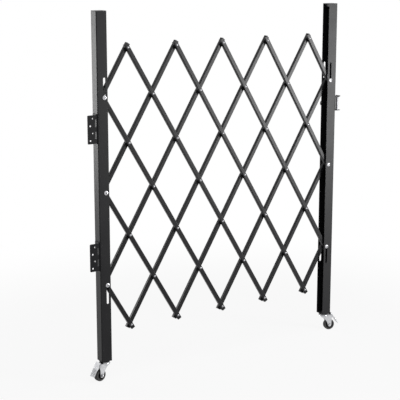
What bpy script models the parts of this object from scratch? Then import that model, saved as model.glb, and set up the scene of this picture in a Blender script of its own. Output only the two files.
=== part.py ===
"""Expandable safety barrier: a riveted scissor lattice between two channel posts.

Each post stands on a locking swivel caster. The left post hangs on two butt hinges and the right
post carries a strike bracket and a thumb knob. The lattice is modelled fully open. All lengths
are in metres, +X runs from the hinged post to the free post, -Y is the front and +Z is up.
"""
import math

import bmesh
import bpy
from mathutils import Matrix, Vector

# Driving dimensions of the whole barrier
post_height = 1.440
caster_height = 0.084
hole_spacing = 0.2237
open_half_angle = math.radians(30.5)
fit_gap = 0.0003
cut_overrun = 0.002
weld_distance = 0.00001
curve_steps = 5
columns = 10
rows = 6
middle_share = 0.49514

# Lattice arms: formed channel strips, webs to the front, in a front and a rear layer
arm_width = 0.018
arm_depth = 0.014
arm_wall = 0.0016
arm_bend = 0.0025
arm_overhang = 0.018
layer_gap = 0.0006

# Rivets at the free crossings
rivet_radius = 0.003
rivet_head_radius = 0.0052
rivet_head_height = 0.0026
rivet_tail_radius = 0.0045
rivet_tail_height = 0.0018
rivet_dome_share = 0.72
rivet_sides = 8

# Post bolts, with a socket in the head, a round nut and two spacer sleeves
bolt_radius = 0.004
bolt_head_radius = 0.0092
bolt_head_height = 0.0032
bolt_head_edge = 0.0014
bolt_socket_radius = 0.003
bolt_socket_depth = 0.002
nut_radius = 0.0085
nut_height = 0.0055
bolt_tip = 0.002
spacer_radius = 0.006
spacer_length = 0.006
bolt_sides = 10

# Posts: rolled channels, open toward the lattice
post_width = 0.046
post_wall = 0.002
post_bend = 0.0035
pin_inset = 0.0143
slot_clearance = 0.001
slot_travel = 0.075
slot_sides = 12

# Caps and foot plates in the ends of the posts
cap_flange = 0.0016
cap_edge = 0.0006
cap_plug = 0.012
foot_thickness = 0.004

# Butt hinges at the front corner of the left post
hinge_height = 0.115
hinge_upper_offset = 0.264
hinge_lower_offset = 0.2585
hinge_leaf_width = 0.0465
hinge_leaf_thickness = 0.0028
hinge_leaf_play = 0.0004
hinge_notch = 0.0135
knuckle_radius = 0.0068
wall_knuckle = 0.019
wall_knuckles = 3
post_knuckles = 2
hinge_pin_radius = 0.0034
hinge_pin_head_radius = 0.0055
hinge_pin_head_height = 0.003
hinge_hole_radius = 0.0033
hinge_hole_near = 0.0235
hinge_hole_far = 0.0347
hinge_hole_margin = 0.0135
hinge_screws = 4
hinge_sides = 12
hinge_bore_sides = 8

# Strike bracket, strike rod and thumb knob on the right post
latch_offset = 0.277
bracket_height = 0.063
bracket_depth = 0.030
bracket_reach = 0.029
bracket_wall = 0.0024
bracket_bend = 0.0035
bracket_inset = 0.001
rod_radius = 0.0052
rod_standoff = 0.0155
rod_inset = 0.007
knob_radius = 0.014
knob_height = 0.010
knob_waist_radius = 0.009
knob_foot = 0.003
knob_sides = 20

# Casters: stem, raceway, fork, wheel and brake
wheel_share = 0.30357
tyre_width = 0.020
tyre_edge = 0.0035
tyre_thickness = 0.008
trail = 0.027
hub_boss_radius = 0.0075
hub_width = 0.0254
hub_web_half_width = 0.0035
hub_rim_half_width = 0.0085
hub_rim_thickness = 0.003
axle_radius = 0.003
axle_head_radius = 0.0058
axle_head_height = 0.0035
axle_nut_height = 0.0045
cheek_thickness = 0.002
boss_radius = 0.0085
crown_radius = 0.022
crown_thickness = 0.004
crown_edge = 0.0012
race_height = 0.0079
race_waist = 0.002
stem_radius = 0.005
stem_head_radius = 0.008
stem_head_height = 0.004
stem_nut_radius = 0.0085
stem_nut_height = 0.008
fork_rear = 0.037
fork_skirt = 0.015
fork_front_share = 0.80
fork_throat_share = 0.84
pedal_pivot_inset = 0.007
pedal_barrel_radius = 0.0045
pedal_pin_radius = 0.002
pedal_offset = 0.012
pedal_rise = 0.009
pedal_reach = 0.050
pedal_thickness = 0.0022
pedal_ear_thickness = 0.0018
pedal_ear_spread = 0.015
pedal_lip = 0.005
rib_count = 5
rib_spacing = 0.0055
rib_width = 0.0022
rib_height = 0.0014
shoe_width = 0.016
shoe_thickness = 0.008
pedal_slope = math.radians(58)
pedal_swing = math.radians(12)
left_caster_turn = math.radians(180 + 14)
right_caster_turn = math.radians(-16)
wheel_sides = 24
caster_sides = 16
axle_bore_sides = 8

# Values that follow from the driving ones
middle_rise = post_height * middle_share
hinge_upper_rise = middle_rise + hinge_upper_offset
hinge_lower_rise = middle_rise - hinge_lower_offset
wheel_radius = caster_height * wheel_share
tyre_bore_radius = wheel_radius - tyre_thickness
column_step = hole_spacing * math.sin(open_half_angle)
row_step = hole_spacing * math.cos(open_half_angle)
middle_height = caster_height + middle_rise
arm_face = layer_gap / 2 + arm_depth
rear_web_back = layer_gap / 2 + arm_wall
post_depth = 2 * (arm_face + fit_gap + spacer_length + fit_gap + post_wall)
flange_face = post_depth / 2
web_face = post_width - pin_inset
post_centre = post_width / 2 - pin_inset
channel_length = post_height - cap_flange - fit_gap

for leftover in list(bpy.data.objects):
    bpy.data.objects.remove(leftover, do_unlink=True)

barrier = bpy.data.collections.new("safety_barrier")
cutters = bpy.data.collections.new("cutters")
bpy.context.scene.collection.children.link(barrier)
bpy.context.scene.collection.children.link(cutters)


def principled(name, colour, roughness, metallic):
    """A plain Principled material."""
    material = bpy.data.materials.new(name)
    material.use_nodes = True
    shader = material.node_tree.nodes["Principled BSDF"]
    shader.inputs["Base Color"].default_value = (*colour, 1)
    shader.inputs["Roughness"].default_value = roughness
    shader.inputs["Metallic"].default_value = metallic
    return material


def black_coat(name):
    return principled(name, (0.022, 0.022, 0.024), 0.38, 0.0)


def dark_steel(name):
    return principled(name, (0.030, 0.030, 0.032), 0.45, 0.4)


def bright_zinc(name):
    return principled(name, (0.72, 0.72, 0.73), 0.28, 1.0)


def black_rubber(name):
    return principled(name, (0.020, 0.020, 0.020), 0.75, 0.0)


def grey_plastic(name):
    return principled(name, (0.30, 0.30, 0.31), 0.50, 0.0)


def frame_at(name, place, parent=None, turn=0.0):
    """An empty at a world place, turned about +Z; joints turn about these."""
    empty = bpy.data.objects.new(name, None)
    empty.empty_display_size = arm_width
    barrier.objects.link(empty)
    empty.parent = parent
    world = Matrix.Translation(place) @ Matrix.Rotation(turn, 4, "Z")
    world_frames[name] = world
    above = world_frames[parent.name] if parent else Matrix()
    empty.matrix_local = above.inverted() @ world
    return empty


def put(name, mesh, finish, parent, matrix=None, home=None):
    """An object that holds the mesh, at a matrix in its parent's frame."""
    thing = bpy.data.objects.new(name, mesh)
    (home or barrier).objects.link(thing)
    thing.parent = parent
    thing.matrix_local = matrix or Matrix()
    if finish:
        mesh.materials.append(finish(name))
    return thing


def as_cutter(name, mesh, parent, matrix=None):
    thing = put(name, mesh, None, parent, matrix, cutters)
    thing.hide_render = True
    thing.display_type = "WIRE"
    return thing


def boolean(thing, tool, operation="DIFFERENCE"):
    modifier = thing.modifiers.new(operation.lower(), "BOOLEAN")
    modifier.operation = operation
    modifier.solver = "EXACT"
    modifier.object = tool


def mesh_from(name, shape):
    mesh = bpy.data.meshes.new(name)
    shape.to_mesh(mesh)
    shape.free()
    return mesh


def around(radius, sides):
    """The corner radius of a polygon that clears a circle of the given radius."""
    return radius / math.cos(math.pi / sides)


def add_box(shape, low, high):
    """A box between two corners, added to a bmesh."""
    low, high = Vector(low), Vector(high)
    matrix = Matrix.Translation((low + high) / 2) @ Matrix.Diagonal((*(high - low), 1))
    return bmesh.ops.create_cube(shape, size=1, matrix=matrix)["verts"]


def add_rod(shape, radius, start, end, sides):
    """A cylinder between two points, added to a bmesh."""
    start, end = Vector(start), Vector(end)
    turn = (end - start).to_track_quat("Z", "X").to_matrix().to_4x4()
    matrix = Matrix.Translation((start + end) / 2) @ turn
    bmesh.ops.create_cone(
        shape,
        cap_ends=True,
        segments=sides,
        radius1=radius,
        radius2=radius,
        depth=(end - start).length,
        matrix=matrix,
    )


def channel_mesh(name, length, width, depth, bend):
    """The outer sheet of a channel: along +X, open at z = 0, with its web at z = depth."""
    shape = bmesh.new()
    add_box(shape, (0, -width / 2, 0), (length, width / 2, depth))
    doomed = [f for f in shape.faces if f.normal.z < -0.5 or abs(f.normal.x) > 0.5]
    bmesh.ops.delete(shape, geom=doomed, context="FACES")
    corners = [e for e in shape.edges if len(e.link_faces) == 2]
    bmesh.ops.bevel(
        shape, geom=corners, offset=bend, segments=2, profile=0.5, affect="EDGES", material=-1
    )
    return mesh_from(name, shape)


def thicken(thing, wall):
    modifier = thing.modifiers.new("wall", "SOLIDIFY")
    modifier.thickness = wall
    modifier.offset = -1
    modifier.use_even_offset = True


def turned_mesh(name, profile):
    """A profile of (radius, height) points for a Screw modifier. One that leaves the axis is a loop."""
    points = [(radius, 0, height) for radius, height in profile]
    edges = [(k, k + 1) for k in range(len(profile) - 1)]
    if profile[0][0] > 0:
        edges.append((len(profile) - 1, 0))
    mesh = bpy.data.meshes.new(name)
    mesh.from_pydata(points, edges, [])
    return mesh


def turn_solid(thing, sides):
    modifier = thing.modifiers.new("turn", "SCREW")
    modifier.axis = "Z"
    modifier.angle = 2 * math.pi
    modifier.steps = sides
    modifier.render_steps = sides
    modifier.use_merge_vertices = True
    modifier.merge_threshold = weld_distance
    modifier.use_smooth_shade = True


def outline_mesh(name, outline, thickness):
    """A closed outline in XY, filled and extruded both ways along Z, as a mesh."""
    curve = bpy.data.curves.new(name, "CURVE")
    curve.dimensions = "2D"
    curve.fill_mode = "BOTH"
    curve.extrude = thickness / 2
    spline = curve.splines.new("POLY")
    spline.points.add(len(outline) - 1)
    for point, (x, y) in zip(spline.points, outline):
        point.co = (x, y, 0, 1)
    spline.use_cyclic_u = True
    carrier = bpy.data.objects.new(name, curve)
    cutters.objects.link(carrier)
    graph = bpy.context.evaluated_depsgraph_get()
    mesh = bpy.data.meshes.new_from_object(carrier.evaluated_get(graph))
    bpy.data.objects.remove(carrier)
    shape = bmesh.new()
    shape.from_mesh(mesh)
    bmesh.ops.remove_doubles(shape, verts=shape.verts, dist=weld_distance)
    bmesh.ops.recalc_face_normals(shape, faces=shape.faces)
    shape.to_mesh(mesh)
    shape.free()
    return mesh


def node_place(column, row):
    """The centre of a crossing between the two layers."""
    return Vector((column * column_step, 0, middle_height + (rows / 2 - row) * row_step))


def arm_matrix(slope):
    """Local +X along the arm, local +Z to the front. slope is +1 for up to the right."""
    along = Vector((math.sin(open_half_angle), 0, slope * math.cos(open_half_angle)))
    front = Vector((0, -1, 0))
    across = front.cross(along)
    return Matrix((along, across, front)).transposed().to_4x4()


world_frames = {}
root = frame_at("barrier_origin", (0, 0, 0))

# Posts, caps, foot plates and the middle bolts


def slot_mesh(name):
    """Cutters for the two slots and the middle hole, through both flanges of one post."""
    shape = bmesh.new()
    radius = around(bolt_radius + slot_clearance, slot_sides)
    reach = post_depth + 2 * cut_overrun
    for way in (1, -1):
        made = bmesh.ops.create_circle(shape, cap_ends=True, segments=slot_sides, radius=radius)
        ring = made["verts"]
        half_step = Matrix.Rotation(math.pi / slot_sides, 4, "Z")
        bmesh.ops.transform(shape, matrix=half_step, verts=ring)
        far = [v for v in ring if v.co.y * way > 0]
        bmesh.ops.translate(shape, vec=(0, way * slot_travel, 0), verts=far)
        bmesh.ops.translate(shape, vec=(0, way * 2 * row_step, -reach / 2), verts=ring)
        face = ring[0].link_faces[0]
        lifted = bmesh.ops.extrude_face_region(shape, geom=[face])["geom"]
        top = [v for v in lifted if isinstance(v, bmesh.types.BMVert)]
        bmesh.ops.translate(shape, vec=(0, 0, reach), verts=top)
    middle = around(bolt_radius + fit_gap, slot_sides)
    add_rod(shape, middle, (0, 0, -reach / 2), (0, 0, reach / 2), slot_sides)
    bmesh.ops.transform(shape, matrix=Matrix.Rotation(math.pi / 2, 4, "X"), verts=shape.verts)
    bmesh.ops.recalc_face_normals(shape, faces=shape.faces)
    return mesh_from(name, shape)


def post(side, frame, turn):
    """The channel of one post, in the frame of its middle bolt."""
    mesh = channel_mesh(f"post_{side}", channel_length, post_depth, post_width, post_bend)
    rise = Matrix.Translation((pin_inset, 0, -middle_rise))
    mesh.transform(rise @ Matrix.Rotation(-math.pi / 2, 4, "Y"))
    channel = put(f"post_{side}", mesh, black_coat, frame, turn)
    thicken(channel, post_wall)
    slots = as_cutter(f"slots_{side}", slot_mesh(f"slots_{side}"), frame, turn)
    boolean(channel, slots)


def web_block(low, high):
    """A block that fits a post's channel, with its two upright edges by the web rounded."""
    shape = bmesh.new()
    add_box(shape, low, high)
    uprights = [e for e in shape.edges if abs(e.verts[0].co.z - e.verts[1].co.z) > fit_gap]
    by_web = [e for e in uprights if e.verts[0].co.x < 0]
    bmesh.ops.bevel(
        shape, geom=by_web, offset=post_bend, segments=2, profile=0.5, affect="EDGES", material=-1
    )
    return shape


def cap(side, frame, turn):
    """A moulded cap: a flange on the channel's end and a plug inside it."""
    top = post_height - middle_rise
    shape = web_block((-web_face, -flange_face, top - cap_flange), (pin_inset, flange_face, top))
    rim = [e for e in shape.edges if all(v.co.z > top - cap_edge for v in e.verts)]
    bmesh.ops.bevel(
        shape, geom=rim, offset=cap_edge, segments=1, profile=0.5, affect="EDGES", material=-1
    )
    lid = put(f"cap_{side}", mesh_from(f"cap_{side}", shape), black_coat, frame, turn)
    inside = flange_face - post_wall - fit_gap
    low = (-web_face + post_wall + fit_gap, -inside, top - cap_flange - cap_plug)
    shape = web_block(low, (pin_inset - fit_gap, inside, top - cap_flange / 2))
    plug = as_cutter(f"cap_plug_{side}", mesh_from(f"cap_plug_{side}", shape), frame, turn)
    boolean(lid, plug, "UNION")


def foot(side, frame, turn):
    """The plate inside the lower end of the post, with a hole for the caster stem."""
    base = -middle_rise
    inside = flange_face - post_wall - fit_gap
    low = (-web_face + post_wall + fit_gap, -inside, base)
    shape = web_block(low, (pin_inset - fit_gap, inside, base + foot_thickness))
    plate = put(f"foot_{side}", mesh_from(f"foot_{side}", shape), black_coat, frame, turn)
    shape = bmesh.new()
    bore = around(stem_radius + fit_gap, caster_sides)
    under = Vector((-post_centre, 0, base - cut_overrun))
    over = Vector((-post_centre, 0, base + foot_thickness + cut_overrun))
    add_rod(shape, bore, under, over, caster_sides)
    hole = as_cutter(f"foot_hole_{side}", mesh_from(f"foot_hole_{side}", shape), frame, turn)
    boolean(plate, hole)


def post_bolt(name, frame):
    """A shouldered bolt along the pin line. Its shoulders space the arms from the flanges."""
    head = flange_face + fit_gap
    top = head + bolt_head_height
    low = -(head + nut_height)
    outer = flange_face - post_wall - fit_gap
    inner = arm_face + fit_gap
    behind = rear_web_back + fit_gap
    screw = [
        (0, top - bolt_socket_depth),
        (bolt_socket_radius, top - bolt_socket_depth),
        (bolt_socket_radius, top),
        (bolt_head_radius - bolt_head_edge, top),
        (bolt_head_radius, head + bolt_head_edge),
        (bolt_head_radius, head),
        (bolt_radius, head),
        (bolt_radius, outer),
        (spacer_radius, outer),
        (spacer_radius, inner),
        (bolt_radius, inner),
        (bolt_radius, -behind),
        (spacer_radius, -behind),
        (spacer_radius, -outer),
        (bolt_radius, -outer),
        (bolt_radius, low - bolt_tip),
        (0, low - bolt_tip),
    ]
    bore = around(bolt_radius + fit_gap, bolt_sides)
    nut = [(bore, -head), (nut_radius, -head), (nut_radius, low), (bore, low)]
    forward = Matrix.Rotation(math.pi / 2, 4, "X")
    for piece, profile in (("bolt", screw), ("nut", nut)):
        mesh = turned_mesh(f"{piece}_{name}", profile)
        turn_solid(put(f"{piece}_{name}", mesh, bright_zinc, frame, forward), bolt_sides)


left_post = frame_at("left_post_frame", node_place(0, 3), root)

# Lattice arms. Each row gives the first and last crossing, the crossing that the arm turns on
# and the frame that carries it there
ARMS = {
    "rear_arm_2": (1, (0, 3), (3, 0), (0, 3), "left_post_frame"),
    "front_arm_7": (-1, (0, 3), (3, 6), (0, 3), "left_post_frame"),
    "front_arm_6": (-1, (0, 1), (5, 6), (1, 2), "rear_arm_2"),
    "front_arm_1": (-1, (1, 0), (7, 6), (2, 1), "rear_arm_2"),
    "front_arm_2": (-1, (3, 0), (9, 6), (3, 0), "rear_arm_2"),
    "rear_arm_3": (1, (0, 5), (5, 0), (1, 4), "front_arm_7"),
    "rear_arm_4": (1, (1, 6), (7, 0), (2, 5), "front_arm_7"),
    "rear_arm_5": (1, (3, 6), (9, 0), (3, 6), "front_arm_7"),
    "rear_arm_1": (1, (0, 1), (1, 0), (0, 1), "front_arm_6"),
    "front_arm_8": (-1, (0, 5), (1, 6), (1, 6), "rear_arm_4"),
    "rear_arm_6": (1, (5, 6), (10, 1), (7, 4), "front_arm_2"),
    "rear_arm_7": (1, (7, 6), (10, 3), (8, 5), "front_arm_2"),
    "rear_arm_8": (1, (9, 6), (10, 5), (9, 6), "front_arm_2"),
    "front_arm_3": (-1, (5, 0), (10, 5), (7, 2), "rear_arm_5"),
    "front_arm_4": (-1, (7, 0), (10, 3), (8, 1), "rear_arm_5"),
    "front_arm_5": (-1, (9, 0), (10, 1), (9, 0), "rear_arm_5"),
}


def arm(name, slope, first, last, pivot, frame):
    """One channel arm. Its origin is the crossing that it turns on. A front arm holds the rivets."""
    spans = last[0] - first[0]
    back = (pivot[0] - first[0]) * hole_spacing
    length = spans * hole_spacing + 2 * arm_overhang
    mesh = channel_mesh(name, length, arm_width, arm_depth, arm_bend)
    open_side = -arm_face if slope > 0 else layer_gap / 2
    mesh.transform(Matrix.Translation((-back - arm_overhang, 0, open_side)))
    strip = put(name, mesh, black_coat, frame, arm_matrix(slope))
    thicken(strip, arm_wall)
    shape = bmesh.new()
    reach = arm_face + cut_overrun
    riveted = []
    for k in range(spans + 1):
        x = k * hole_spacing - back
        on_post = first[0] + k in (0, columns)
        if slope < 0 and not on_post:
            riveted.append(x)
            continue
        sides = bolt_sides if on_post else rivet_sides
        radius = around((bolt_radius if on_post else rivet_radius) + fit_gap, sides)
        add_rod(shape, radius, (x, 0, -reach), (x, 0, reach), sides)
    if shape.verts:
        tool = mesh_from(f"{name}_holes", shape)
        boolean(strip, as_cutter(f"{name}_holes", tool, frame, arm_matrix(slope)))
    if riveted:
        boolean(strip, rivets(name, riveted, frame), "UNION")


def rivets(name, places, frame):
    """The rivets that a front arm carries, one at each crossing that isn't on a post."""
    seat = arm_face - fit_gap
    tail = -rear_web_back - fit_gap
    profile = [
        (0, seat + rivet_head_height),
        (rivet_head_radius * rivet_dome_share, seat + rivet_head_height * rivet_dome_share),
        (rivet_head_radius, seat),
        (rivet_radius, seat),
        (rivet_radius, tail),
        (rivet_tail_radius, tail),
        (rivet_tail_radius, tail - rivet_tail_height),
        (0, tail - rivet_tail_height),
    ]
    place = arm_matrix(-1) @ Matrix.Translation((places[0], 0, 0))
    row = as_cutter(f"{name}_rivets", turned_mesh(f"{name}_rivets", profile), frame, place)
    turn_solid(row, rivet_sides)
    copies = row.modifiers.new("row", "ARRAY")
    copies.use_relative_offset = False
    copies.use_constant_offset = True
    copies.constant_offset_displace = (hole_spacing, 0, 0)
    copies.count = len(places)
    return row


frames = {"left_post_frame": left_post}
for arm_name, (slope, first, last, pivot, carrier) in ARMS.items():
    frames[arm_name] = frame_at(f"{arm_name}_frame", node_place(*pivot), frames[carrier])
    arm(arm_name, slope, first, last, pivot, frames[arm_name])

right_post = frame_at("right_post_frame", node_place(columns, 3), frames["front_arm_4"])
half_turn = Matrix.Rotation(math.pi, 4, "Z")
for side, frame, turn in (("left", left_post, Matrix()), ("right", right_post, half_turn)):
    post(side, frame, turn)
    cap(side, frame, turn)
    foot(side, frame, turn)

# The middle bolts are fixed in the posts. The others slide in the slots with the arms they join
SLIDING_BOLTS = {
    "left_upper": ((0, 1), "front_arm_6"),
    "left_lower": ((0, 5), "rear_arm_3"),
    "right_upper": ((10, 1), "rear_arm_6"),
    "right_lower": ((10, 5), "front_arm_3"),
}
post_bolt("left_middle", left_post)
post_bolt("right_middle", right_post)
for bolt_name, (crossing, carrier) in SLIDING_BOLTS.items():
    post_bolt(bolt_name, frame_at(f"bolt_{bolt_name}_frame", node_place(*crossing), frames[carrier]))

# Butt hinges


def leaf(name, knuckles, turn, way, frame, screw_holes):
    """A leaf along local +X from the pin, with its plate on the side of the pin that way gives."""
    top = hinge_height / 2
    near = way * hinge_leaf_play / 2
    far = near + way * hinge_leaf_thickness
    shape = bmesh.new()
    low, high = min(near, far), max(near, far)
    add_box(shape, (hinge_notch, low, -top), (hinge_leaf_width, high, top))
    plate = put(name, mesh_from(name, shape), dark_steel, frame, turn)
    tabs = bmesh.new()
    tubes = bmesh.new()
    for base, peak in knuckles:
        add_box(tabs, (fit_gap, low, base), (hinge_notch + hinge_leaf_thickness, high, peak))
        add_rod(tubes, knuckle_radius, (0, 0, base), (0, 0, peak), hinge_sides)
    for mark, solid in (("tabs", tabs), ("tubes", tubes)):
        mesh = mesh_from(f"{name}_{mark}", solid)
        boolean(plate, as_cutter(f"{name}_{mark}", mesh, frame, turn), "UNION")
    shape = bmesh.new()
    bore = around(hinge_pin_radius + fit_gap, hinge_bore_sides)
    add_rod(shape, bore, (0, 0, -top - cut_overrun), (0, 0, top + cut_overrun), hinge_bore_sides)
    spacing = (hinge_height - 2 * hinge_hole_margin) / (hinge_screws - 1)
    for k in range(screw_holes):
        x = hinge_hole_far if k % 2 else hinge_hole_near
        z = top - hinge_hole_margin - k * spacing
        start, end = low - cut_overrun, high + cut_overrun
        add_rod(shape, hinge_hole_radius, (x, start, z), (x, end, z), hinge_bore_sides)
    boolean(plate, as_cutter(f"{name}_bores", mesh_from(f"{name}_bores", shape), frame, turn))


def hinge_pin(name, frame):
    """A headed pin through the knuckles."""
    half = hinge_height / 2 + fit_gap
    mesh = turned_mesh(
        name,
        [
            (0, half + hinge_pin_head_height),
            (hinge_pin_head_radius * rivet_dome_share, half + hinge_pin_head_height),
            (hinge_pin_head_radius, half),
            (hinge_pin_radius, half),
            (hinge_pin_radius, -half),
            (hinge_pin_head_radius, -half),
            (hinge_pin_head_radius * rivet_dome_share, -half - hinge_pin_head_height),
            (0, -half - hinge_pin_head_height),
        ],
    )
    turn_solid(put(name, mesh, bright_zinc, frame), hinge_bore_sides)


hinge_x = -web_face - fit_gap - hinge_leaf_thickness - hinge_leaf_play / 2
hinge_y = -flange_face - fit_gap - knuckle_radius
post_knuckle = (hinge_height - wall_knuckles * wall_knuckle) / post_knuckles
knuckle_ends = []
for k in range(wall_knuckles + post_knuckles):
    base = (k // 2 + k % 2) * wall_knuckle + (k // 2) * post_knuckle - hinge_height / 2
    size = post_knuckle if k % 2 else wall_knuckle
    knuckle_ends.append((base + (fit_gap if k else 0), base + size))
for level, rise in (("upper", hinge_upper_rise), ("lower", hinge_lower_rise)):
    place = Vector((hinge_x, hinge_y, caster_height + rise))
    wall_side = frame_at(f"hinge_{level}_frame", place, root)
    post_side = frame_at(f"hinge_{level}_post_frame", place, left_post)
    outward = Matrix.Rotation(math.pi, 4, "Z")
    along_web = Matrix.Rotation(math.pi / 2, 4, "Z")
    # The wall leaf takes screws, and the post leaf is welded to the web
    leaf(f"hinge_{level}_wall_leaf", knuckle_ends[::2], outward, 1, wall_side, hinge_screws)
    leaf(f"hinge_{level}_post_leaf", knuckle_ends[1::2], along_web, -1, post_side, 0)
    hinge_pin(f"hinge_{level}_pin", wall_side)

# Strike bracket, rod and thumb knob


def strike_bracket(frame):
    """A channel on the outer face of the right post, open away from it, near the front edge."""
    mesh = channel_mesh("strike_bracket", bracket_depth, bracket_height, bracket_reach, bracket_bend)
    stand = Matrix((
        (0, 0, -1, bracket_reach),
        (1, 0, 0, bracket_inset - flange_face),
        (0, -1, 0, 0),
        (0, 0, 0, 1),
    ))
    mesh.transform(stand)
    thicken(put("strike_bracket", mesh, dark_steel, frame), bracket_wall)
    half = bracket_height / 2 - bracket_wall - fit_gap
    front = bracket_inset - flange_face + rod_inset
    shape = bmesh.new()
    low, high = Vector((rod_standoff, front, -half)), Vector((rod_standoff, front, half))
    add_rod(shape, rod_radius, low, high, caster_sides)
    put("strike_rod", mesh_from("strike_rod", shape), bright_zinc, frame)


def thumb_knob(frame):
    """A round knob on the rear flange; local +Z points to the rear."""
    mesh = turned_mesh(
        "thumb_knob",
        [
            (0, knob_height),
            (knob_radius - knob_foot, knob_height),
            (knob_radius, knob_height - knob_foot / 2),
            (knob_radius, knob_foot),
            (knob_waist_radius, knob_foot),
            (knob_waist_radius, fit_gap),
            (0, fit_gap),
        ],
    )
    backward = Matrix.Rotation(-math.pi / 2, 4, "X")
    turn_solid(put("thumb_knob", mesh, black_coat, frame, backward), knob_sides)


right_pin_x = columns * column_step
latch_z = middle_height + latch_offset
bracket_place = (right_pin_x + web_face + fit_gap, 0, latch_z)
strike_bracket(frame_at("strike_frame", bracket_place, right_post))
thumb_knob(frame_at("thumb_knob_frame", (right_pin_x, flange_face, latch_z), right_post))

# Casters. In each caster's frame the wheel trails along local +X and the floor is at z = 0

crown_top = caster_height - 2 * fit_gap - race_height
crown_low = crown_top - crown_thickness
cheek_inner = hub_width / 2 + fit_gap
cheek_outer = cheek_inner + cheek_thickness
pedal_pivot = Vector((fork_rear - pedal_pivot_inset, 0, crown_low - pedal_barrel_radius / 2))
wheel_centre = Vector((trail, 0, wheel_radius))


def stem(side, frame):
    """The stem with its head under the fork and its nut on the foot plate, and the raceway."""
    nut_low = caster_height + foot_thickness + fit_gap
    nut_top = nut_low + stem_nut_height
    race_top = caster_height - fit_gap
    race_low = race_top - race_height
    head_top = crown_low - fit_gap
    spindle = [
        (0, nut_top + bolt_tip),
        (stem_radius, nut_top + bolt_tip),
        (stem_radius, nut_top),
        (stem_nut_radius, nut_top),
        (stem_nut_radius, nut_low),
        (stem_radius, nut_low),
        (stem_radius, head_top),
        (stem_head_radius, head_top),
        (stem_head_radius, head_top - stem_head_height),
        (0, head_top - stem_head_height),
    ]
    bore = around(stem_radius + fit_gap, caster_sides)
    race = [
        (bore, race_top),
        (crown_radius, race_top),
        (crown_radius, race_top - race_waist),
        (crown_radius - race_waist, (race_top + race_low) / 2),
        (crown_radius, race_low + race_waist / 2),
        (crown_radius, race_low),
        (bore, race_low),
    ]
    for name, profile, sides in (("stem", spindle, bolt_sides), ("race", race, caster_sides)):
        mesh = turned_mesh(f"caster_{side}_{name}", profile)
        turn_solid(put(f"caster_{side}_{name}", mesh, bright_zinc, frame), sides)


def cheek_outline():
    """One cheek of the fork: crown, rear skirt, hollow throat, axle boss and straight front edge."""
    top = crown_top - crown_thickness / 2
    front = -crown_radius * fork_front_share
    skirt = crown_low - fork_skirt
    boss_rear = Vector((trail + boss_radius, wheel_radius))
    rear = Vector((fork_rear, skirt))
    throat = Vector((boss_rear.x, boss_rear.y + (skirt - wheel_radius) * fork_throat_share))
    outline = [(front, top), (front, crown_low - crown_thickness)]
    for k in range(curve_steps + 1):
        angle = math.pi * (1 + k / curve_steps)
        across, up = boss_radius * math.cos(angle), boss_radius * math.sin(angle)
        outline.append((trail + across, wheel_radius + up))
    for k in range(curve_steps):
        t = (k + 1) / curve_steps
        bow = boss_rear * (1 - t) ** 2 + throat * 2 * t * (1 - t) + rear * t**2
        outline.append((bow.x, bow.y))
    outline.append((fork_rear, top))
    return outline


def fork(side, frame):
    """Two pressed cheeks under a round crown, bridged over the brake."""
    shape = bmesh.new()
    add_rod(shape, crown_radius, (0, 0, crown_low), (0, 0, crown_top), wheel_sides)
    rim = [e for e in shape.edges if all(v.co.z > crown_top - crown_edge for v in e.verts)]
    bmesh.ops.bevel(
        shape, geom=rim, offset=crown_edge, segments=1, profile=0.5, affect="EDGES", material=-1
    )
    body = put(f"caster_{side}_fork", mesh_from(f"caster_{side}_fork", shape), bright_zinc, frame)
    middle = cheek_inner + cheek_thickness / 2
    stand = Matrix.Rotation(math.pi / 2, 4, "X")
    for mark, y in (("front", -middle), ("rear", middle)):
        mesh = outline_mesh(f"cheek_{mark}_{side}", cheek_outline(), cheek_thickness)
        mesh.transform(Matrix.Translation((0, y, 0)) @ stand)
        boolean(body, as_cutter(f"cheek_{mark}_{side}", mesh, frame), "UNION")
    shape = bmesh.new()
    bridge_end = pedal_pivot.x - pedal_barrel_radius - fit_gap
    bridge_half = cheek_outer - cheek_thickness / 2
    bridge_low = crown_top - crown_thickness / 2 - cheek_thickness
    add_box(shape, (0, -bridge_half, bridge_low), (bridge_end, bridge_half, crown_top - crown_edge))
    boolean(body, as_cutter(f"bridge_{side}", mesh_from(f"bridge_{side}", shape), frame), "UNION")
    shape = bmesh.new()
    reach = cheek_outer + cut_overrun
    add_rod(
        shape,
        around(stem_radius + fit_gap, caster_sides),
        (0, 0, crown_low - cut_overrun),
        (0, 0, crown_top + cut_overrun),
        caster_sides,
    )
    across = Vector((0, reach, 0))
    for centre, radius in ((wheel_centre, axle_radius), (pedal_pivot, pedal_pin_radius)):
        bore = around(radius + fit_gap, axle_bore_sides)
        add_rod(shape, bore, centre - across, centre + across, axle_bore_sides)
    boolean(body, as_cutter(f"fork_bores_{side}", mesh_from(f"fork_bores_{side}", shape), frame))


def axle(side, frame):
    """The axle bolt with its nut, fixed across the fork."""
    head = cheek_outer + fit_gap
    low = -(head + axle_nut_height)
    screw = [
        (0, head + axle_head_height),
        (axle_head_radius * rivet_dome_share, head + axle_head_height),
        (axle_head_radius, head + axle_head_height / 2),
        (axle_head_radius, head),
        (axle_radius, head),
        (axle_radius, -head),
        (axle_head_radius, -head),
        (axle_head_radius, low),
        (axle_radius, low),
        (axle_radius, low - bolt_tip),
        (0, low - bolt_tip),
    ]
    mesh = turned_mesh(f"caster_{side}_axle", screw)
    across = Matrix.Translation(wheel_centre) @ Matrix.Rotation(math.pi / 2, 4, "X")
    turn_solid(put(f"caster_{side}_axle", mesh, bright_zinc, frame, across), bolt_sides)


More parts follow.
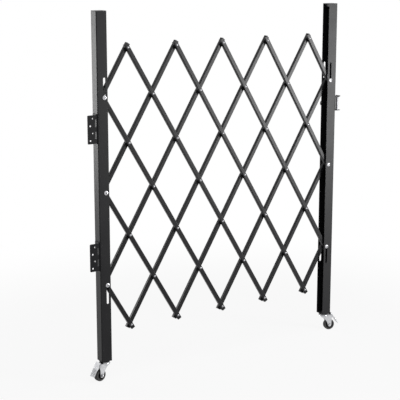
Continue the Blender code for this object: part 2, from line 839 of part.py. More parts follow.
def wheel(side, frame):
    """A rubber tyre on a moulded hub."""
    half = tyre_width / 2
    tyre = [
        (tyre_bore_radius, half),
        (wheel_radius - tyre_edge, half),
        (wheel_radius, half - tyre_edge),
        (wheel_radius, tyre_edge - half),
        (wheel_radius - tyre_edge, -half),
        (tyre_bore_radius, -half),
    ]
    bore = around(axle_radius + fit_gap, caster_sides)
    rim = (tyre_bore_radius - fit_gap) * math.cos(math.pi / wheel_sides)
    inner_rim = rim - hub_rim_thickness
    upper = [
        (bore, hub_width / 2 - fit_gap),
        (hub_boss_radius, hub_width / 2 - fit_gap),
        (hub_boss_radius, hub_web_half_width),
        (inner_rim, hub_web_half_width),
        (inner_rim, hub_rim_half_width),
        (rim, hub_rim_half_width),
    ]
    hub = upper + [(radius, -height) for radius, height in reversed(upper)]
    upright = Matrix.Rotation(math.pi / 2, 4, "X")
    mesh = turned_mesh(f"caster_{side}_tyre", tyre)
    turn_solid(put(f"caster_{side}_tyre", mesh, black_rubber, frame, upright), wheel_sides)
    mesh = turned_mesh(f"caster_{side}_hub", hub)
    turn_solid(put(f"caster_{side}_hub", mesh, grey_plastic, frame, upright), caster_sides)


def pedal(side, frame):
    """The ribbed brake pedal, its ears and pivot. Local +X runs down the tread and +Z off it."""
    tilt = Matrix.Rotation(pedal_slope, 4, "Y")
    stand = Matrix.Rotation(math.pi / 2, 4, "X")
    low = pedal_offset - pedal_thickness
    lift = low + pedal_lip / 2
    outline = [(-pedal_rise, low), (pedal_reach, low), (pedal_reach + pedal_lip, lift)]
    outline += [(pedal_reach + pedal_lip, lift + pedal_thickness), (pedal_reach, pedal_offset)]
    for k in range(rib_count):
        rib = pedal_reach - rib_spacing * (k + 1)
        crest = pedal_offset + rib_height
        outline += [(rib + rib_width, pedal_offset), (rib + rib_width, crest)]
        outline += [(rib, crest), (rib, pedal_offset)]
    outline.append((-pedal_rise, pedal_offset))
    half = cheek_inner - fit_gap
    mesh = outline_mesh(f"caster_{side}_pedal", outline, 2 * half)
    mesh.transform(stand)
    plate = put(f"caster_{side}_pedal", mesh, bright_zinc, frame, tilt)
    ear = [
        (-pedal_rise, low + pedal_thickness / 2),
        (-pedal_barrel_radius, 0),
        (0, -pedal_barrel_radius / 2),
        (pedal_barrel_radius, 0),
        (pedal_ear_spread, low + pedal_thickness / 2),
    ]
    for mark, way in (("front", -1), ("rear", 1)):
        mesh = outline_mesh(f"pedal_ear_{mark}_{side}", ear, pedal_ear_thickness)
        mesh.transform(Matrix.Translation((0, way * (half - pedal_ear_thickness), 0)) @ stand)
        boolean(plate, as_cutter(f"pedal_ear_{mark}_{side}", mesh, frame, tilt), "UNION")
    inside = half - pedal_ear_thickness / 4
    for mark, radius, reach in (
        ("barrel", pedal_barrel_radius, inside),
        ("pin", pedal_pin_radius, cheek_outer + fit_gap),
    ):
        shape = bmesh.new()
        add_rod(shape, radius, (0, -reach, 0), (0, reach, 0), axle_bore_sides)
        rod = as_cutter(f"pedal_{mark}_{side}", mesh_from(f"pedal_{mark}_{side}", shape), frame, tilt)
        boolean(plate, rod, "UNION")
    # The shoe hangs from the barrel, turned back from the wheel's centre until the pedal is pressed
    drop = pedal_pivot - wheel_centre
    aim = Matrix.Rotation(math.atan2(drop.z, -drop.x) - pedal_swing, 4, "Y")
    clear = drop.length - wheel_radius - fit_gap
    tip = math.sqrt(clear**2 - shoe_thickness**2 / 4)
    start = pedal_barrel_radius + fit_gap
    shape = bmesh.new()
    half_width, half_depth = shoe_width / 2, shoe_thickness / 2
    add_box(shape, (start, -half_width, -half_depth), (tip, half_width, half_depth))
    put(f"caster_{side}_shoe", mesh_from(f"caster_{side}_shoe", shape), black_rubber, frame, aim)


CASTERS = (
    ("left", -post_centre, left_caster_turn, left_post),
    ("right", right_pin_x + post_centre, right_caster_turn, right_post),
)
for side, x, turn, carrier in CASTERS:
    stem(side, frame_at(f"caster_{side}_stem_frame", (x, 0, 0), carrier))
    swivel = frame_at(f"caster_{side}_swivel_frame", (x, 0, 0), carrier, turn)
    fork(side, swivel)
    axle(side, swivel)
    swivel_world = world_frames[swivel.name]
    wheel(side, frame_at(f"caster_{side}_wheel_frame", swivel_world @ wheel_centre, swivel, turn))
    pedal(side, frame_at(f"caster_{side}_pedal_frame", swivel_world @ pedal_pivot, swivel, turn))

# The origin is on the front face of the upper wall leaf, between its holes, where it meets the wall
leaf_centre = hinge_x - (hinge_hole_near + hinge_hole_far) / 2
wall_face = hinge_y - hinge_leaf_play / 2 - hinge_leaf_thickness
root.location = -Vector((leaf_centre, wall_face, caster_height + hinge_upper_rise))
bpy.context.view_layer.update()
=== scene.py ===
"""Looks of an expandable safety barrier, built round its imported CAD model.

The sections follow the barrier as it is put together: lattice arms and rivets, posts and caps,
bolts, hinges, latch, casters, and then the floor, lights and camera. Lengths are in metres.
"""
import math

import bmesh
import bpy
from mathutils import Matrix, Vector


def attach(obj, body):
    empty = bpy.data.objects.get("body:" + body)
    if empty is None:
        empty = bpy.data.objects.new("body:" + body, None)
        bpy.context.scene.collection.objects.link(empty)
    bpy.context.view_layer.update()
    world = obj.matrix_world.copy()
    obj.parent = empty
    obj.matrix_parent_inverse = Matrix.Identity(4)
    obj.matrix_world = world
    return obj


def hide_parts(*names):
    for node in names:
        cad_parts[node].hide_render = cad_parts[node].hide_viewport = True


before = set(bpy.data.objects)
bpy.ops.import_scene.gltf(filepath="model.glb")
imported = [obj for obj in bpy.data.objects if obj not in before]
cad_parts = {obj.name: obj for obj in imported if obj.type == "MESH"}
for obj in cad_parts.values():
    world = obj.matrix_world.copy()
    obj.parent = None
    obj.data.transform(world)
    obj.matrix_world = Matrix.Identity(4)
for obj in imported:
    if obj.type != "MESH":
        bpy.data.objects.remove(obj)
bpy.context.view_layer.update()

# Lattice arms. Sixteen strips of 1.6 mm steel, rolled to channels and powder coated black. Eight
# lean one way in front and eight the other way behind, and all have their webs to the front.
pin_foot = Vector((0.0641, 0.033, -1.061))
hole_spacing = 0.2237
arm_lean = math.radians(30.5)
middle_height = 0.797
column_step = hole_spacing * math.sin(arm_lean)
row_step = hole_spacing * math.cos(arm_lean)
last_column = 10
arm_width = 0.018
arm_depth = 0.014
arm_sheet = 0.0016
arm_bend = 0.0025
arm_overhang = 0.018
layer_gap = 0.0006
arm_face = layer_gap / 2 + arm_depth
rear_web_back = layer_gap / 2 + arm_sheet
hole_radius = 0.0033
bolt_hole_radius = 0.0043
hole_steps = 20
bend_steps = 4
weld = 0.00001
overrun = 0.002
sheet_edge = 0.00025
sharp_angle = math.radians(35)
flat_angle = math.radians(0.5)
flat_weight = 90


def add_box(shape, low, high):
    """A block between two corners, added to a shape."""
    low, high = Vector(low), Vector(high)
    middle = Matrix.Translation((low + high) / 2)
    bmesh.ops.create_cube(shape, size=1, matrix=middle @ Matrix.Diagonal((*(high - low), 1)))


def add_rod(shape, radius, start, end, steps):
    """A round bar between two points, added to a shape."""
    start, end = Vector(start), Vector(end)
    turn = (end - start).to_track_quat("Z", "X").to_matrix().to_4x4()
    bmesh.ops.create_cone(
        shape,
        cap_ends=True,
        segments=steps,
        radius1=radius,
        radius2=radius,
        depth=(end - start).length,
        matrix=Matrix.Translation((start + end) / 2) @ turn,
    )


def placed(shape, place):
    """The shape, moved to its place."""
    bmesh.ops.transform(shape, matrix=place, verts=shape.verts)
    return shape


def rounded(shape, edges, size, steps, clamp=False):
    """The shape with these edges rounded."""
    bmesh.ops.bevel(
        shape,
        geom=edges,
        offset=size,
        segments=steps,
        profile=0.5,
        affect="EDGES",
        material=-1,
        clamp_overlap=clamp,
    )
    return shape


def eased(shape, size, steps=2):
    """The shape with each sharp edge rounded slightly, as deburring and the coat leave it."""
    sharp = [
        e for e in shape.edges if len(e.link_faces) == 2 and e.calc_face_angle() > sharp_angle
    ]
    return rounded(shape, sharp, size, steps, clamp=True)


def formed_channel(length, width, depth, sheet, bend):
    """A channel along +X, open at z = 0, with its web at z = depth."""
    shape = bmesh.new()
    add_box(shape, (0, -width / 2, 0), (length, width / 2, depth))
    open_sides = [f for f in shape.faces if f.normal.z < -0.5 or abs(f.normal.x) > 0.5]
    bmesh.ops.delete(shape, geom=open_sides, context="FACES")
    rounded(shape, [e for e in shape.edges if len(e.link_faces) == 2], bend, bend_steps)
    bmesh.ops.recalc_face_normals(shape, faces=shape.faces)
    web = max(shape.faces, key=lambda f: f.calc_area())
    if web.normal.dot(web.calc_center_median() - Vector((length / 2, 0, 0))) < 0:
        bmesh.ops.reverse_faces(shape, faces=shape.faces)
    bmesh.ops.solidify(shape, geom=shape.faces[:], thickness=sheet)
    return shape


def worked(shape, tool, way="DIFFERENCE"):
    """The shape with the tool cut out of it or joined to it, and its flat faces made whole."""
    things = []
    for solid in (shape, tool):
        mesh = bpy.data.meshes.new("blank")
        solid.to_mesh(mesh)
        solid.free()
        things.append(bpy.data.objects.new("blank", mesh))
        bpy.context.scene.collection.objects.link(things[-1])
    cut = things[0].modifiers.new("cut", "BOOLEAN")
    cut.operation = way
    cut.solver = "EXACT"
    cut.use_self = True
    cut.object = things[1]
    result = bmesh.new()
    graph = bpy.context.evaluated_depsgraph_get()
    result.from_mesh(things[0].evaluated_get(graph).to_mesh())
    for thing in things:
        bpy.data.objects.remove(thing)
    bmesh.ops.remove_doubles(result, verts=result.verts, dist=weld)
    bmesh.ops.dissolve_limit(
        result, angle_limit=flat_angle, verts=result.verts, edges=result.edges
    )
    return result


def fitted(name, shape, finish, slot, body, *nodes):
    """A finished piece, riding on its body in place of its CAD nodes."""
    mesh = bpy.data.meshes.new(name)
    shape.to_mesh(mesh)
    shape.free()
    mesh.materials.append(finish)
    for polygon in mesh.polygons:
        polygon.use_smooth = True
    mesh.set_sharp_from_angle(angle=sharp_angle)
    piece = bpy.data.objects.new(name, mesh)
    bpy.context.scene.collection.objects.link(piece)
    flats = piece.modifiers.new("flats", "WEIGHTED_NORMAL")
    flats.keep_sharp = True
    flats.weight = flat_weight
    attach(piece, body)
    if nodes:
        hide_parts(*nodes)
    return piece


def node(tree, kind, inputs=None, **settings):
    """A shader node with its settings, and its inputs linked or set."""
    made = tree.nodes.new(kind)
    for key, value in settings.items():
        setattr(made, key, value)
    for key, value in (inputs or {}).items():
        if isinstance(value, bpy.types.NodeSocket):
            tree.links.new(value, made.inputs[key])
        else:
            made.inputs[key].default_value = value
    return made


def maths(tree, operation, *values):
    """A sum on numbers or sockets."""
    return node(tree, "ShaderNodeMath", dict(enumerate(values)), operation=operation).outputs[0]


def noise(tree, scale, detail, roughness):
    """Noise over the object's own coordinates."""
    spot = node(tree, "ShaderNodeTexCoord").outputs["Object"]
    inputs = {"Vector": spot, "Scale": scale, "Detail": detail, "Roughness": roughness}
    return node(tree, "ShaderNodeTexNoise", inputs).outputs["Fac"]


def ramp(tree, value, start, end):
    """A share that is 0 where the value is at its start and 1 where it is at its end."""
    inputs = {"Value": value, "From Min": start, "From Max": end, "To Min": 0.0, "To Max": 1.0}
    return node(tree, "ShaderNodeMapRange", inputs).outputs["Result"]


def tint(tree, share, low, high):
    """A colour between two others, by a share that changes over the surface."""
    return node(tree, "ShaderNodeMix", {0: share, 6: low, 7: high}, data_type="RGBA").outputs[2]


def node_group(name, inputs, outputs):
    """An empty shader group: float inputs with their first values, and float outputs."""
    tree = bpy.data.node_groups.new(name, "ShaderNodeTree")
    for title, start in inputs.items():
        socket = tree.interface.new_socket(title, in_out="INPUT", socket_type="NodeSocketFloat")
        socket.default_value = start
    for title in outputs:
        tree.interface.new_socket(title, in_out="OUTPUT", socket_type="NodeSocketFloat")
    return tree, tree.nodes.new("NodeGroupInput").outputs, tree.nodes.new("NodeGroupOutput")


def give_out(tree, group_out, **sockets):
    """Links sockets to a group's outputs."""
    for title, socket in sockets.items():
        tree.links.new(socket, group_out.inputs[title])


def varied_gloss(tree, drift, group_in):
    """A group's gloss, which a noise takes up and down by the group's spread."""
    centred = maths(tree, "SUBTRACT", drift, 0.5)
    return maths(tree, "MULTIPLY_ADD", centred, group_in["Gloss spread"], group_in["Gloss"])


def place_group(tree, group, **inputs):
    """A group placed in a material, with its own values."""
    made = tree.nodes.new("ShaderNodeGroup")
    made.node_tree = group
    for key, value in inputs.items():
        made.inputs[key.replace("_", " ")].default_value = value
    return made.outputs


def new_material(name):
    """A material with its node tree and its shader."""
    material = bpy.data.materials.new(name)
    material.use_nodes = True
    return material, material.node_tree, material.node_tree.nodes["Principled BSDF"]


def add_relief(tree, shader, height, strength, depth):
    """Fine relief in a shader's normal."""
    inputs = {"Height": height, "Strength": strength, "Distance": depth}
    relief = node(tree, "ShaderNodeBump", inputs).outputs["Normal"]
    tree.links.new(relief, shader.inputs["Normal"])


# Rubbed edges: bare spots where a rounded normal leaves the flat one, broken up by noise
edge_turn_start, edge_turn_end = 0.985, 0.86
patch_start, patch_end = 0.48, 0.62
wear_group, wear_in, wear_out = node_group(
    "rubbed_edges", {"Radius": 0.0006, "Amount": 0.5, "Patch scale": 60.0}, ["Mask"]
)
patches = noise(wear_group, wear_in["Patch scale"], 5.0, 0.65)
bent = node(wear_group, "ShaderNodeBevel", {"Radius": wear_in["Radius"]}, samples=4).outputs[0]
flat = node(wear_group, "ShaderNodeNewGeometry").outputs["Normal"]
facing = node(
    wear_group, "ShaderNodeVectorMath", {0: bent, 1: flat}, operation="DOT_PRODUCT"
).outputs["Value"]
edge = ramp(wear_group, facing, edge_turn_start, edge_turn_end)
broken = ramp(wear_group, patches, patch_start, patch_end)
worn = maths(wear_group, "MULTIPLY", edge, broken)
give_out(wear_group, wear_out, Mask=maths(wear_group, "MULTIPLY", worn, wear_in["Amount"]))

# Coat grain: the fine orange peel of a baked coat, with slow changes in gloss and shade
drift_scale = 14.0
peel_strength = 0.35
grain_group, grain_in, grain_out = node_group(
    "coat_grain",
    {"Peel scale": 900.0, "Gloss": 0.4, "Gloss spread": 0.08},
    ["Height", "Roughness", "Shade"],
)
peel = noise(grain_group, grain_in["Peel scale"], 2.0, 0.5)
drift = noise(grain_group, drift_scale, 4.0, 0.6)
gloss = varied_gloss(grain_group, drift, grain_in)
give_out(grain_group, grain_out, Height=peel, Roughness=gloss, Shade=drift)


def coated(name, colour, pale, bare, gloss, peel_scale, peel_depth, wear, sheen):
    """A coat over steel or plastic: grain in its gloss and normal, and rubbed edges."""
    material, tree, shader = new_material(name)
    grain = place_group(tree, grain_group, Peel_scale=peel_scale, Gloss=gloss)
    rubbed = place_group(tree, wear_group, Amount=wear)["Mask"]
    shader.inputs["Specular IOR Level"].default_value = sheen
    coat = tint(tree, grain["Shade"], (*colour, 1), (*pale, 1))
    tree.links.new(tint(tree, rubbed, coat, (*bare, 1)), shader.inputs["Base Color"])
    tree.links.new(grain["Roughness"], shader.inputs["Roughness"])
    add_relief(tree, shader, grain["Height"], peel_strength, peel_depth)
    return material


steel_coat = {
    "colour": (0.006, 0.006, 0.007),
    "pale": (0.011, 0.011, 0.012),
    "bare": (0.20, 0.20, 0.20),
    "peel_scale": 900.0,
    "peel_depth": 0.00003,
    "wear": 0.5,
    "sheen": 0.17,
}
powder_coat = coated("powder_coat", gloss=0.40, **steel_coat)
arm_coat = coated("arm_coat", gloss=0.33, **steel_coat)


def crossing(column, row):
    """The middle of a crossing, between the two layers."""
    return pin_foot + Vector((column * column_step, 0, middle_height + (3 - row) * row_step))


def along_arm(lean_way):
    """Local +X up or down along an arm, local +Z to the front."""
    along = Vector((math.sin(arm_lean), 0, lean_way * math.cos(arm_lean)))
    front = Vector((0, -1, 0))
    return Matrix((along, front.cross(along), front)).transposed().to_4x4()


# First and last crossing of each arm, as column and row. Front arms run down to the right
front_runs = (
    ((1, 0), (7, 6)),
    ((3, 0), (9, 6)),
    ((5, 0), (10, 5)),
    ((7, 0), (10, 3)),
    ((9, 0), (10, 1)),
    ((0, 1), (5, 6)),
    ((0, 3), (3, 6)),
    ((0, 5), (1, 6)),
)
rear_runs = (
    ((0, 1), (1, 0)),
    ((0, 3), (3, 0)),
    ((0, 5), (5, 0)),
    ((1, 6), (7, 0)),
    ((3, 6), (9, 0)),
    ((5, 6), (10, 1)),
    ((7, 6), (10, 3)),
    ((9, 6), (10, 5)),
)
for layer, runs, lean_way in (("front", front_runs, -1), ("rear", rear_runs, 1)):
    for number, (first, last) in enumerate(runs, 1):
        spans = last[0] - first[0]
        length = spans * hole_spacing + 2 * arm_overhang
        strip = formed_channel(length, arm_width, arm_depth, arm_sheet, arm_bend)
        open_side = -arm_face if layer == "rear" else layer_gap / 2
        placed(strip, Matrix.Translation((-arm_overhang, 0, open_side)))
        punches = bmesh.new()
        for k in range(spans + 1):
            on_post = first[0] + k in (0, last_column)
            radius = bolt_hole_radius if on_post else hole_radius
            x = k * hole_spacing
            depth = arm_face + overrun
            add_rod(punches, radius, (x, 0, -depth), (x, 0, depth), hole_steps)
        strip = eased(worked(strip, punches), sheet_edge)
        placed(strip, Matrix.Translation(crossing(*first)) @ along_arm(lean_way))
        arm = f"{layer}_arm_{number}"
        fitted(f"{arm}_strip", strip, arm_coat, "black_powder_coat", arm, arm)

# Rivets at the free crossings. Each is a bright zinc-plated steel tube rivet, put in from the
# front and rolled over behind, and it stays with the front arm when the lattice folds.
rivet_radius = 0.003
rivet_head_radius = 0.0052
rivet_head_height = 0.0026
rivet_rim = 0.00052
rivet_tail_radius = 0.0045
rivet_tail_height = 0.0018
rivet_tail_edge = 0.0009
rivet_bore_radius = 0.0017
rivet_bore_flare = 0.00051
rivet_bore_depth = 0.003
rivet_steps = 20
dome_steps = 6
round_steps = 24
fit_gap = 0.0003


def turned(profile, steps=round_steps):
    """A profile of (radius, height) points spun about Z. One that leaves the axis is a ring."""
    shape = bmesh.new()
    points = [shape.verts.new((radius, 0, height)) for radius, height in profile]
    edges = [shape.edges.new(pair) for pair in zip(points, points[1:])]
    if profile[0][0] > 0:
        edges.append(shape.edges.new((points[-1], points[0])))
    bmesh.ops.spin(
        shape,
        geom=points + edges,
        cent=(0, 0, 0),
        axis=(0, 0, 1),
        angle=2 * math.pi,
        steps=steps,
        use_merge=True,
    )
    bmesh.ops.remove_doubles(shape, verts=shape.verts, dist=weld)
    bmesh.ops.recalc_face_normals(shape, faces=shape.faces)
    return shape


def dome(radius, base, rise):
    """Profile points of a low dome, from its crown out to its rim."""
    turns = [k * math.pi / 2 / dome_steps for k in range(dome_steps + 1)]
    return [(radius * math.sin(turn), base + rise * math.cos(turn)) for turn in turns]


def repeated(shape, places):
    """The shape at each of the places, in one piece."""
    first = shape.verts[:] + shape.edges[:] + shape.faces[:]
    for place in places[1:]:
        made = bmesh.ops.duplicate(shape, geom=first)["geom"]
        corners = [v for v in made if isinstance(v, bmesh.types.BMVert)]
        bmesh.ops.transform(shape, matrix=place, verts=corners)
    corners = [v for v in first if isinstance(v, bmesh.types.BMVert)]
    bmesh.ops.transform(shape, matrix=places[0], verts=corners)
    return shape


# Plating film: a slow cloud in the colour and gloss of bright zinc, and fine drawing marks
mark_scale = 1400.0
mark_strength = 0.3
film_group, film_in, film_out = node_group(
    "plating_film",
    {"Cloud scale": 120.0, "Gloss": 0.28, "Gloss spread": 0.16},
    ["Cloud", "Roughness", "Height"],
)
cloud = noise(film_group, film_in["Cloud scale"], 4.0, 0.6)
gloss = varied_gloss(film_group, cloud, film_in)
marks = noise(film_group, mark_scale, 3.0, 0.7)
give_out(film_group, film_out, Cloud=cloud, Roughness=gloss, Height=marks)

# Recesses: painted shade, a darker base colour in corners and gaps that neighbouring surfaces
# shade
open_start, open_end = 0.94, 0.40
recess_shade_colour = (0.07, 0.07, 0.075, 1)
# painted shade: ambient occlusion picks out corners and gaps, which take a dark grey base colour
recess_shade_group, recess_shade_in, recess_shade_out = node_group(
    "painted_recess_shade", {"Reach": 0.016, "Strength": 0.9}, ["Mask"]
)
openness = node(
    recess_shade_group, "ShaderNodeAmbientOcclusion", {"Distance": recess_shade_in["Reach"]}, samples=8
).outputs["AO"]
painted_shade = ramp(recess_shade_group, openness, open_start, open_end)
painted_shade = maths(recess_shade_group, "MULTIPLY", painted_shade, recess_shade_in["Strength"])
give_out(recess_shade_group, recess_shade_out, Mask=painted_shade)


def plated(name, colour, dull, gloss, mark_depth):
    """Plated steel: metal with a cloudy film, fine marks and painted shade in its recesses."""
    material, tree, shader = new_material(name)
    shader.inputs["Metallic"].default_value = 1.0
    film = place_group(tree, film_group, Gloss=gloss)
    face = tint(tree, film["Cloud"], (*dull, 1), (*colour, 1))
    # painted shade: the base colour darkens toward a dark grey in corners and gaps
    recess_shade = place_group(tree, recess_shade_group)["Mask"]
    tree.links.new(tint(tree, recess_shade, face, recess_shade_colour), shader.inputs["Base Color"])
    tree.links.new(film["Roughness"], shader.inputs["Roughness"])
    add_relief(tree, shader, film["Height"], mark_strength, mark_depth)
    return material


bright_zinc = plated("bright_zinc", (0.76, 0.76, 0.77), (0.40, 0.41, 0.43), 0.24, 0.00003)
# painted shade: the rivets' zinc is a darker copy of the bright zinc, standing in for the dim
# reflections on their heads
rivet_zinc_shaded = plated("rivet_zinc_shaded", (0.28, 0.28, 0.29), (0.18, 0.18, 0.19), 0.38, 0.00003)

rivet_seat = arm_face - fit_gap
rivet_end = -rear_web_back - fit_gap
rivet_tip = rivet_end - rivet_tail_height
roll_middle = rivet_end - rivet_tail_height / 2
rivet_profile = dome(
    rivet_head_radius, rivet_seat + rivet_rim, rivet_head_height - rivet_rim
) + [
    (rivet_head_radius, rivet_seat),
    (rivet_radius, rivet_seat),
    (rivet_radius, rivet_end),
    (rivet_tail_radius, rivet_end),
    (rivet_tail_radius, roll_middle),
    (rivet_tail_radius - rivet_tail_edge, rivet_tip),
    (rivet_bore_radius + rivet_bore_flare, rivet_tip),
    (rivet_bore_radius, roll_middle),
    (rivet_bore_radius, rivet_tip + rivet_bore_depth),
    (0, rivet_tip + rivet_bore_depth),
]
to_front = Matrix.Rotation(math.pi / 2, 4, "X")
for number, (first, last) in enumerate(front_runs, 1):
    cells = [(first[0] + k, first[1] + k) for k in range(last[0] - first[0] + 1)]
    free = [cell for cell in cells if cell[0] not in (0, last_column)]
    places = [Matrix.Translation(crossing(*cell)) @ to_front for cell in free]
    row = repeated(turned(rivet_profile, rivet_steps), places)
    fitted(f"front_arm_{number}_rivets", row, rivet_zinc_shaded, "bright_zinc", f"front_arm_{number}")

# Posts. Each is one 2 mm sheet rolled to a deep channel that is open toward the lattice. Both
# flanges have a slot above and below the middle, in which the outer arm pins slide.
post_height = 1.440
post_width = 0.046
post_sheet = 0.002
post_bend = 0.0035
cap_flange = 0.0016
pin_inset = 0.0143
middle_rise = 0.713
post_half = 0.0229
post_web = post_width - pin_inset
slot_radius = 0.005
slot_travel = 0.075
slot_steps = 32

half_turn = Matrix.Rotation(math.pi, 4, "Z")
post_places = {
    "left": Matrix.Translation(crossing(0, 3)),
    "right": Matrix.Translation(crossing(last_column, 3)) @ half_turn,
}
upright = Matrix.Translation((pin_inset, 0, -middle_rise)) @ Matrix.Rotation(-math.pi / 2, 4, "Y")
for side, place in post_places.items():
    length = post_height - cap_flange - fit_gap
    channel = formed_channel(length, 2 * post_half, post_width, post_sheet, post_bend)
    placed(channel, upright)
    punches = bmesh.new()
    reach = post_half + overrun
    add_rod(punches, bolt_hole_radius, (0, -reach, 0), (0, reach, 0), slot_steps)
    for way in (1, -1):
        ring = bmesh.ops.create_circle(
            punches, cap_ends=True, segments=slot_steps, radius=slot_radius, matrix=to_front
        )["verts"]
        beyond = [v for v in ring if v.co.z * way > weld]
        bmesh.ops.translate(punches, vec=(0, 0, way * slot_travel), verts=beyond)
        bmesh.ops.translate(punches, vec=(0, -reach, way * 2 * row_step), verts=ring)
        lifted = bmesh.ops.extrude_face_region(punches, geom=[ring[0].link_faces[0]])["geom"]
        far = [v for v in lifted if isinstance(v, bmesh.types.BMVert)]
        bmesh.ops.translate(punches, vec=(0, 2 * reach, 0), verts=far)
    bmesh.ops.recalc_face_normals(punches, faces=punches.faces)
    channel = placed(eased(worked(channel, punches), sheet_edge), place)
    name, body = f"post_{side}_channel", f"{side}_post"
    fitted(name, channel, powder_coat, "black_powder_coat", body, f"post_{side}")

# Post caps. Each is black moulded plastic, a thin rounded flange on the channel's end with a
# plug pressed inside it. The foot plates are welded steel and keep their CAD shape.
cap_plug = 0.012
plug_recess = 0.012
cap_edge = 0.0012
rim_steps = 3
corner_steps = 5

cap_plastic = coated(
    "cap_plastic",
    colour=(0.014, 0.014, 0.015),
    pale=(0.022, 0.022, 0.023),
    bare=(0.06, 0.06, 0.06),
    gloss=0.48,
    peel_scale=2200.0,
    peel_depth=0.00004,
    wear=0.2,
    sheen=0.4,
)


def web_block(low, high, inner_bend):
    """A block in the post's channel, its two upright edges by the web rounded."""
    shape = bmesh.new()
    add_box(shape, low, high)
    by_web = [
        e
        for e in shape.edges
        if abs(e.verts[0].co.z - e.verts[1].co.z) > weld and e.verts[0].co.x < 0
    ]
    return rounded(shape, by_web, inner_bend, corner_steps)


for side, place in post_places.items():
    top = post_height - middle_rise
    low = (-post_web, -post_half, top - cap_flange)
    lid = web_block(low, (pin_inset, post_half, top), post_bend)
    rim = [e for e in lid.edges if all(v.co.z > top - weld for v in e.verts)]
    rounded(lid, rim, cap_edge, rim_steps)
    inside = post_half - post_sheet - fit_gap
    plug = web_block(
        (-post_web + post_sheet + fit_gap, -inside, top - cap_flange - cap_plug),
        (pin_inset - plug_recess, inside, top - cap_flange / 2),
        post_bend,
    )
    lid = placed(worked(lid, plug, "UNION"), place)
    fitted(f"post_{side}_cap", lid, cap_plastic, "black_plastic", f"{side}_post", f"cap_{side}")
    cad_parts[f"foot_{side}"].data.materials.clear()
    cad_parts[f"foot_{side}"].data.materials.append(powder_coat)

# Post bolts. Six zinc-plated socket button bolts cross the posts on the pin lines, with a hex nut
# behind and two spacer sleeves that keep the arms in the middle of the channel.
bolt_radius = 0.004
bolt_head_radius = 0.0092
bolt_head_height = 0.0032
bolt_rim = 0.0008
socket_radius = 0.0046
socket_depth = 0.0029
spacer_radius = 0.006
nut_radius = 0.00765
washer_radius = 0.0085
nut_height = 0.0055
washer_height = 0.0013
bolt_tip = 0.002
edge_break = 0.0004
fine_edge = edge_break / 2
flat_share = 0.9
corner_share = 1.02
slope_share = 0.08
fine_steps = 48
# painted shade: the bolts' zinc is a darker copy of the bright zinc on their nuts, toning down
# their reflections
bolt_zinc_shaded = plated("bolt_zinc_shaded", (0.54, 0.54, 0.55), (0.40, 0.40, 0.42), 0.32, 0.00003)
bolt_bodies = {
    "left_upper": ((0, 1), "front_arm_6"),
    "left_middle": ((0, 3), "left_post"),
    "left_lower": ((0, 5), "rear_arm_3"),
    "right_upper": ((last_column, 1), "rear_arm_6"),
    "right_middle": ((last_column, 3), "right_post"),
    "right_lower": ((last_column, 5), "front_arm_3"),
}


def hexagon(radius, low, high):
    """A six-sided bar along Z."""
    shape = bmesh.new()
    add_rod(shape, radius, (0, 0, low), (0, 0, high), 6)
    return shape


def hex_head(radius, low, high):
    """A six-sided head with both ends turned down at their corners."""
    flat, corner, slope = radius * flat_share, radius * corner_share, radius * slope_share
    ends = [(0, low), (flat, low), (corner, low + slope)]
    ends += [(corner, high - slope), (flat, high), (0, high)]
    return worked(hexagon(radius, low, high), turned(ends, fine_steps), "INTERSECT")


def hex_nut(radius, bore, low, high):
    """A six-sided head with a hole through it."""
    hole = bmesh.new()
    add_rod(hole, bore, (0, 0, low - overrun), (0, 0, high + overrun), round_steps)
    return worked(hex_head(radius, low, high), hole)


def flat_ring(radius, bore, low, high):
    """A washer with its edges eased."""
    return eased(turned([(bore, high), (radius, high), (radius, low), (bore, low)]), fine_edge)


head = post_half + fit_gap
outer = post_half - post_sheet - fit_gap
inner = arm_face + fit_gap
behind = rear_web_back + fit_gap
tip = -head - nut_height - bolt_tip
bolt_profile = dome(bolt_head_radius, head + bolt_rim, bolt_head_height - bolt_rim) + [
    (bolt_head_radius, head),
    (bolt_radius, head),
    (bolt_radius, outer),
    (spacer_radius, outer),
    (spacer_radius, inner),
    (bolt_radius, inner),
    (bolt_radius, -behind),
    (spacer_radius, -behind),
    (spacer_radius, -outer),
    (bolt_radius, -outer),
    (bolt_radius, tip + edge_break),
    (bolt_radius - edge_break, tip),
    (0, tip),
]
for name, (cell, body) in bolt_bodies.items():
    place = Matrix.Translation(crossing(*cell)) @ to_front
    top = head + bolt_head_height
    socket = hexagon(socket_radius, top - socket_depth, top + overrun)
    bolt = placed(worked(turned(bolt_profile), socket), place)
    fitted(f"post_bolt_{name}", bolt, bolt_zinc_shaded, "bright_zinc", body, f"bolt_{name}")
    bore = bolt_radius + fit_gap
    nut = placed(hex_nut(nut_radius, bore, -head - nut_height, -head - washer_height), place)
    fitted(f"post_nut_{name}", nut, bright_zinc, "bright_zinc", body, f"nut_{name}")
    washer = placed(flat_ring(washer_radius, bore, -head, -head - washer_height), place)
    fitted(f"post_washer_{name}", washer, bright_zinc, "bright_zinc", body)

